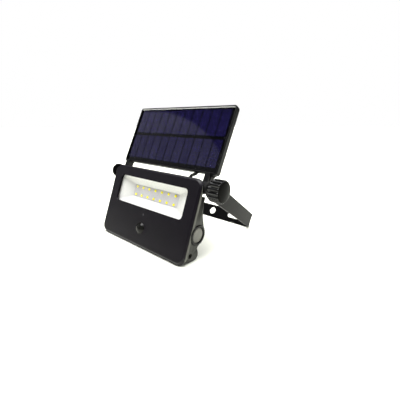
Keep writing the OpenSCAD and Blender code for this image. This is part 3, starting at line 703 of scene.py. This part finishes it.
def pir_lens():
    """Shallow dome on a flange behind the bezel, hollow to the sensor."""
    dome_r = (PIR_R ** 2 + PIR_RISE ** 2) / (2 * PIR_RISE)
    swing = math.asin(PIR_R / dome_r)
    steps = 14
    angles = [swing * i / steps for i in range(steps + 1)]
    outer = [(dome_r - PIR_RISE - dome_r * math.cos(a), dome_r * math.sin(a)) for a in angles]
    flange_r, bore_r = PIR_R + 1.7, PIR_R - 1.4
    profile = outer[:-1] + [(-0.1, PIR_R - 0.15), (0.1, PIR_R), (WALL, PIR_R), (WALL, flange_r),
                            (WALL + 1, flange_r), (WALL + 1, bore_r), (0.6, bore_r)]
    inner = [(y + 1.1, r * 0.9) for y, r in reversed(outer[:-2])]
    piece("pir_dome", turned(profile + inner, (0, 0, PIR_Z), "Y", 72), CASING, "lamp", "lens",
          ["pir_lens"], 40)


def button_group():
    out, bore, sleeve = HOUSING_HALF_W, BUTTON_R + 0.35, SLEEVE_R + 0.05
    ring = ring_profile([(out, sleeve), (out, RING_R), (out + 0.9, RING_R), (out + 1.4, RING_R - 0.3),
                         (out + 1.7, RING_R - 0.9), (out + 1.7, bore + 0.7), (out + 1.5, bore + 0.2),
                         (out + 1.1, bore), (out - 2.4, bore), (out - 2.4, sleeve)])
    piece("button_bezel", turned(ring, TUBE_AT), CASING, "lamp", "ring", ["button_ring"],
          40)
    face, stem_r = BUTTON_FACE_X, 3
    crown = [(face, 0), (face - 0.05, 2), (face - 0.2, 4.5), (face - 0.42, 7), (face - 0.62, 8.6),
             (face - 0.85, 9.5), (face - 1.25, 9.98), (face - 1.7, BUTTON_R), (face - 5, BUTTON_R),
             (face - 5, stem_r), (face - 8.9, stem_r), (face - 8.9, 0)]
    piece("button_cap", turned(crown, TUBE_AT, "X", 72), CASING, "button", "silicone",
          ["push_button"], 40)


def pivot_bolt():
    """Shouldered bolt with a hex socket, on the left; it is made on the right and mirrored."""
    head_x, thick, radius = WASHER_X, 1.8, 5
    out = head_x + thick
    profile = [(BOLT_IN_X, 0), (BOLT_IN_X, BOLT_R), (head_x, BOLT_R), (head_x, radius),
               (out - 0.9, radius), (out - 0.3, radius - 0.25), (out, radius - 1), (out, 0)]
    hex_r = 2.3
    socket = turned([(out - 1.2, 0), (out - 1.2, hex_r), (out + 1, hex_r), (out + 1, 0)], HINGE_AT, "X", 6)
    bm = mirrored(combine(turned(profile, HINGE_AT, "X", 48), "DIFFERENCE", socket))
    soften(bm, 0.2, 60)
    piece("pivot_bolt_head", bm, CASING, "lamp", "bolt", ["pivot_bolt"], 40)


def glands():
    bore, flange = LEAD_R + 0.02, 3.25
    lamp = ring_profile([(TOP_Z - 4, bore), (TOP_Z - 4, LAMP_GLAND_R), (TOP_Z - 0.5, LAMP_GLAND_R),
                         (TOP_Z - 0.5, flange), (TOP_Z + 0.3, flange), (TOP_Z + 0.7, 3.05),
                         (TOP_Z + 0.8, 2.6), (TOP_Z + 0.8, bore)])
    piece("lamp_grommet", turned(lamp, (LEAD_X, LEAD_Y, 0), "Z", 48), CASING, "lamp", "rubber",
          ["lamp_gland"])
    bore, flange = LEAD_R + 0.2, 3.6
    panel = ring_profile([(FOOT_Z + 1.9, bore), (FOOT_Z + 1.9, PANEL_GLAND_R), (FOOT_Z, PANEL_GLAND_R),
                          (FOOT_Z, flange), (FOOT_Z - 0.35, flange), (FOOT_Z - 0.6, 3.3),
                          (FOOT_Z - 0.6, bore)])
    piece("panel_grommet", turned(panel, (LEAD_X, ENTRY_Y, 0), "Z", 48), PANEL, "panel", "rubber",
          ["panel_gland"])


# Lead between the two, along the route that part.scad gives
LEAD_ROUTE = [(LEAD_X, y, z) for y, z in (
    (10, 35), (10, 37.4), (10.3, 38.6), (11.2, 39.6), (12.6, 40.5), (17.9, 43.1), (19.3, 44), (20.1, 45.1),
    (20.35, 46.2), (20.5, 47.7))]


def smooth_route(points, steps=5):
    """Catmull-Rom curve through the points."""
    points = [Vector(p) for p in points]
    points = [points[0] * 2 - points[1], *points, points[-1] * 2 - points[-2]]
    out = []
    for a, b, c, d in zip(points, points[1:], points[2:], points[3:]):
        for k in range(steps):
            t = k / steps
            out.append(0.5 * (2 * b + (c - a) * t + (2 * a - 5 * b + 4 * c - d) * t * t
                              + (3 * b - a - 3 * c + d) * t ** 3))
    return [*out, points[-2]]


def panel_lead():
    route = smooth_route(LEAD_ROUTE)
    side = Vector((1, 0, 0))
    turns = [2 * math.pi * k / 24 for k in range(24)]
    loops = []
    for i, p in enumerate(route):
        along = (route[min(i + 1, len(route) - 1)] - route[max(i - 1, 0)]).normalized()
        across = along.cross(side)
        loops.append([p + LEAD_R * (side * math.cos(a) + across * math.sin(a)) for a in turns])
    made = piece("lead_sheath", loft(loops), CASING, None, "sheath", ["panel_lead"])
    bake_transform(made)


# Panel

def tray_at(inset, depth):
    radius = max(PANEL_R - inset, 1.4)
    return level(rounded_loop(PANEL_W - 2 * inset, PANEL_H - 2 * inset, radius, (0, PANEL_MID_Z)), depth)


def panel_ear():
    """Right-hand hinge ear: a round hub on a neck, flared outwards and filleted inwards at the foot."""
    front, over_foot = FACE_Y + 0.5, FOOT_Z + 1
    hub = arc((0, 0), HUB_R, 170, 372, 40)
    neck = [(NECK_BACK, 6), (NECK_BACK, FOOT_Z + 1.2), (NECK_FRONT, FOOT_Z + 1.2), (NECK_FRONT, 9)]
    flare_x = PANEL_W / 2 - 0.2
    sweep = arc((flare_x, FOOT_Z - 6.7), 7, 196, 92, 16)
    web = [(EAR_OUT_X - 2, sweep[0][1]), *sweep, (flare_x - 1, over_foot), (EAR_OUT_X - 2, over_foot)]
    fillet_x = EAR_IN_X - 3.8
    fillet = arc((fillet_x, FOOT_Z - 3.8), 4, 2, 88, 12)
    corner = [*fillet, (fillet_x, over_foot), (EAR_IN_X + 1, over_foot), (EAR_IN_X + 1, fillet[0][1])]
    bm = combine(prism(hub + neck, EAR_IN_X, EAR_OUT_X), "UNION",
                 prism(web, front, NECK_BACK - 0.2, "Y"), prism(corner, front, NECK_BACK - 0.2, "Y"))
    bm = combine(bm, "DIFFERENCE", rod(EAR_IN_X - 1, EAR_OUT_X + 1, BORE_R))
    return soften(bm, 0.5)


def panel_frame():
    path = rounded_path([(2, COVER_Y, 0), (0, COVER_Y, 0.2), (0, FACE_Y, 1.1), (LIP, FACE_Y, 0.5),
                         (LIP, WEB_Y, 0)], 5)
    gland = rod(FOOT_Z - 1, FOOT_Z + 2.4, PANEL_GLAND_R + 0.05, (LEAD_X, ENTRY_Y, 0), "Z", 40)
    bm = combine(loft([tray_at(u, v) for u, v in path]), "DIFFERENCE", gland)
    bm = combine(bm, "UNION", *both_sides(panel_ear()))
    bm.normal_update()
    lip_z = PANEL_MID_Z + PANEL_H / 2 - LIP
    for face in bm.faces:
        middle = face.calc_center_median()
        # The underside of the panel's upper lip, in front of the web, takes a near-white painted highlight that
        # stands for a reflection on the black moulding
        face.material_index = face.normal.z < -0.8 and middle.z > lip_z - 0.5 and middle.y < WEB_Y
    piece("panel_tray", bm, PANEL, "panel", "panel", ["panel_frame"], 32, "lip")


def panel_back():
    """Back cover with a shallow step inside its rim, and its sunk screws."""
    back = FACE_Y + PANEL_T
    step = back - 0.5
    path = rounded_path([(0.5, COVER_Y, 0), (0.5, back, 0.9), (5, back, 0.3), (5.4, step, 0.3),
                         (7.4, step, 0)], 4)
    drills = [rod(COVER_Y + 0.8, back + 1, 2.6, (x, 0, z), "Y", 40) for x, z in PANEL_SCREWS]
    bm = combine(loft([tray_at(u, v) for u, v in path]), "DIFFERENCE", *drills)
    piece("panel_back", bm, PANEL, "panel", "cover", ["panel_back_cover"], 40)
    heads = [screw_head((x, 0, z), 2.3, COVER_Y + 1.75, 0.9) for x, z in PANEL_SCREWS]
    piece("cover_screws", joined(*heads), PANEL, "panel", "steel", ["panel_screws"])


def pivot_spacers():
    inner, outer, radius = EAR_OUT_X, ARM_IN_X - 0.2, 6.4
    tube = ring_profile([(inner, BORE_R), (inner, radius - 0.2), (inner + 0.3, radius),
                         (outer - 0.5, radius), (outer, radius - 0.4), (outer, BORE_R)])
    bm = turned(tube, (0, 0, 0), "X", 56)
    piece("pivot_bushes", joined(mirrored(bm), bm), PANEL, "panel", "rubber", ["pivot_spacers"])


# Bracket: a flat drilled strip, bent to a U

def strip_flat(straight, bend, arm):
    """The strip before bending: u along it from the middle of the cross bar, v across, w thickness."""
    half = straight + bend + arm
    ends = arc((half, 0), STRIP_W / 2, -90, 90, 30) + arc((-half, 0), STRIP_W / 2, 90, 270, 30)
    tools = []
    for side in (1, -1):
        tools.append(rod(-1, STRIP_T + 1, BORE_R, (side * half, 0, 0), "Y", 48))
        tools.append(rod(-1, STRIP_T + 1, HOLE_R, (side * HOLE_X, 0, 0), "Y"))
        round_end = SLOT_W / 2 - 0.01
        tools.append(prism(rounded_loop(SLOT_L, SLOT_W, round_end, (side * SLOT_X, 0)), -1, STRIP_T + 1, "Y"))
    bm = combine(prism(ends, 0, STRIP_T, "Y"), "DIFFERENCE", *tools)
    soften(bm, 0.35)
    cuts = 12
    for side in (1, -1):
        for k in range(cuts + 1):
            u = side * (straight + bend * k / cuts)
            geometry = [*bm.verts, *bm.edges, *bm.faces]
            bmesh.ops.bisect_plane(bm, geom=geometry, plane_co=(u, 0, 0), plane_no=(1, 0, 0))
    return bm


def mounting_bracket():
    """Bends the flat strip: cross bar up to straight, then a quarter turn, then the arm."""
    straight = ARM_IN_X - BEND_R
    bend = math.pi / 2 * (BEND_R + STRIP_T / 2)
    arm = REACH - STRIP_T - BEND_R
    bm = strip_flat(straight, bend, arm)
    for vert in bm.verts:
        u, w, v = vert.co
        side = 1 if u >= 0 else -1
        u = abs(u)
        # w runs from the outside of the U (0) to its inside (STRIP_T)
        radius = BEND_R + STRIP_T - w
        if u <= straight:
            x, s = u, REACH - w
        elif u <= straight + bend:
            angle = (u - straight) / bend * math.pi / 2
            x, s = straight + radius * math.sin(angle), arm + radius * math.cos(angle)
        else:
            x, s = straight + radius, arm - (u - straight - bend)
        vert.co = (side * x, v, s)
    bmesh.ops.recalc_face_normals(bm, faces=bm.faces)
    piece("bracket_strip", bm, BRACKET, "bracket", "paint", ["mounting_bracket"], 32)


# Knob

def knob_grip():
    """Fluted grip; stations are (distance along, share of the full radius)."""
    stations = [(0, 0.86), (0.15, 0.93), (0.7, 0.985), (1.6, 1.0), (4, 1.0), (8, 1.0), (12, 1.0),
                (KNOB_L - 1.1, 1.0), (KNOB_L - 0.45, 0.985), (KNOB_L - 0.1, 0.95), (KNOB_L, 0.91)]
    count = FLUTES * 14
    flute_depth, flute_start, run_in, narrowing = 1.5, 0.9, 1.2, 2.2
    loops = []
    for along, share in stations:
        fade = min(1, max(0, (along - flute_start) / run_in))
        loop = []
        for k in range(count):
            turn = 2 * math.pi * k / count
            wave = 0.5 - 0.5 * math.cos(FLUTES * turn)
            radius = KNOB_R * share - flute_depth * fade * wave ** narrowing
            loop.append((GRIP_X + along, radius * math.cos(turn), radius * math.sin(turn)))
        loops.append(loop)
    piece("knob_grip", loft(loops), KNOB, "knob", "knob", ["clamp_knob"], 60)


def knob_disc():
    """Satin cap, slightly domed from its rim to its middle."""
    foot, radius, rise = GRIP_X + KNOB_L, KNOB_R - 1.3, 3
    dome = [(foot, 0), (foot, radius - 0.1), (foot + 0.35, radius), (foot + 0.75, radius - 0.35)]
    dome += [(foot + rise - 2.1 * (r / radius) ** 2.2, r) for r in (12.6, 11.4, 9.8, 7.6, 5.4, 3.2, 1.2)]
    dome += [(foot + rise, 0)]
    piece("knob_disc", turned(dome, (0, 0, 0), "X", 96), KNOB, "knob", "cap", ["knob_cap"])


def knob_skirt():
    inner, outer, radius = WASHER_X, WASHER_X + WASHER_T, KNOB_R - 1.5
    skirt = ring_profile([(inner, BORE_R), (inner, radius - 0.3), (inner + 0.3, radius),
                          (outer - 0.3, radius), (outer, radius - 0.2), (outer, BORE_R)])
    piece("knob_skirt", turned(skirt, (0, 0, 0), "X", 72), KNOB, "knob", "ring", ["knob_washer"])


# Stage and light

def make_stage():
    floor_z = CAD_BOX[0][2] - 0.0002
    bpy.ops.mesh.primitive_circle_add(vertices=96, radius=6, fill_type="NGON", location=(0, 0, floor_z))
    floor = bpy.context.object
    floor.name = "floor"
    s = Shader("floor_pale", Roughness=0.9, Specular_IOR_Level=0.1)
    s.set("Base Color", s.between(s.spread(s.noise(3, 2), 0, 1), (0.90, 0.91, 0.82), (0.92, 0.93, 0.84)))
    floor.data.materials.append(s.material)


def make_world():
    """White where the camera looks past the floor, dim as a light on the surfaces."""
    world = bpy.data.worlds.new("world")
    bpy.context.scene.world = world
    world.use_nodes = True
    tree = world.node_tree
    background = tree.nodes["Background"]
    ray = tree.nodes.new("ShaderNodeLightPath")
    mix = tree.nodes.new("ShaderNodeMix")
    mix.data_type = "RGBA"
    mix.inputs["A"].default_value = (0.05, 0.05, 0.055, 1)
    mix.inputs["B"].default_value = (1, 1, 1, 1)
    tree.links.new(ray.outputs["Is Camera Ray"], mix.inputs["Factor"])
    tree.links.new(mix.outputs["Result"], background.inputs["Color"])
    background.inputs["Strength"].default_value = 1


def aim(data, name, place, towards):
    """Puts a light into the scene, shining along the given direction."""
    made = bpy.data.objects.new(name, data)
    made.location = place
    made.rotation_mode = "QUATERNION"
    made.rotation_quaternion = towards.to_track_quat("-Z", "Y")
    bpy.context.scene.collection.objects.link(made)


def sun(name, elevation, azimuth, strength, spread):
    """Soft sun; the angles, in degrees, say where its light comes from."""
    data = bpy.data.lights.new(name, "SUN")
    data.energy, data.angle = strength, math.radians(spread)
    e, a = math.radians(elevation), math.radians(azimuth)
    source = Vector((math.sin(a) * math.cos(e), -math.cos(a) * math.cos(e), math.sin(e)))
    aim(data, name, (0, 0, 0), -source)


def softbox(name, place, target, width, power, height=None):
    """Area light: a disc of that width, or a rectangle where a height is given."""
    data = bpy.data.lights.new(name, "AREA")
    data.shape, data.size, data.energy = "DISK", width, power
    if height:
        data.shape, data.size_y = "RECTANGLE", height
    aim(data, name, place, Vector(target) - Vector(place))


def make_lights():
    sun("overhead", 84, -60, 4.9, 44)
    sun("right", 60, 118, 2.3, 50)
    sun("left", 60, -135, 1.0, 50)
    softbox("haze", (-2.145, -1.727, 1.337), (0.229, -0.065, 0.561), 1.954, 5.8)
    softbox("strip", (-0.2, -0.5, 1.2), (0.05, 0, 0.1), 0.35, 3, 0.175)


for node, look in CAD_LOOKS.items():
    dress(node, MAT[look])
front_bezel()
rear_housing()
housing_screws()
reflector()
leds()
pir_lens()
button_group()
pivot_bolt()
glands()
panel_lead()
panel_frame()
panel_back()
pivot_spacers()
mounting_bracket()
knob_grip()
knob_disc()
knob_skirt()
make_stage()
make_world()
make_lights()
bpy.context.scene.view_settings.view_transform = "Standard"
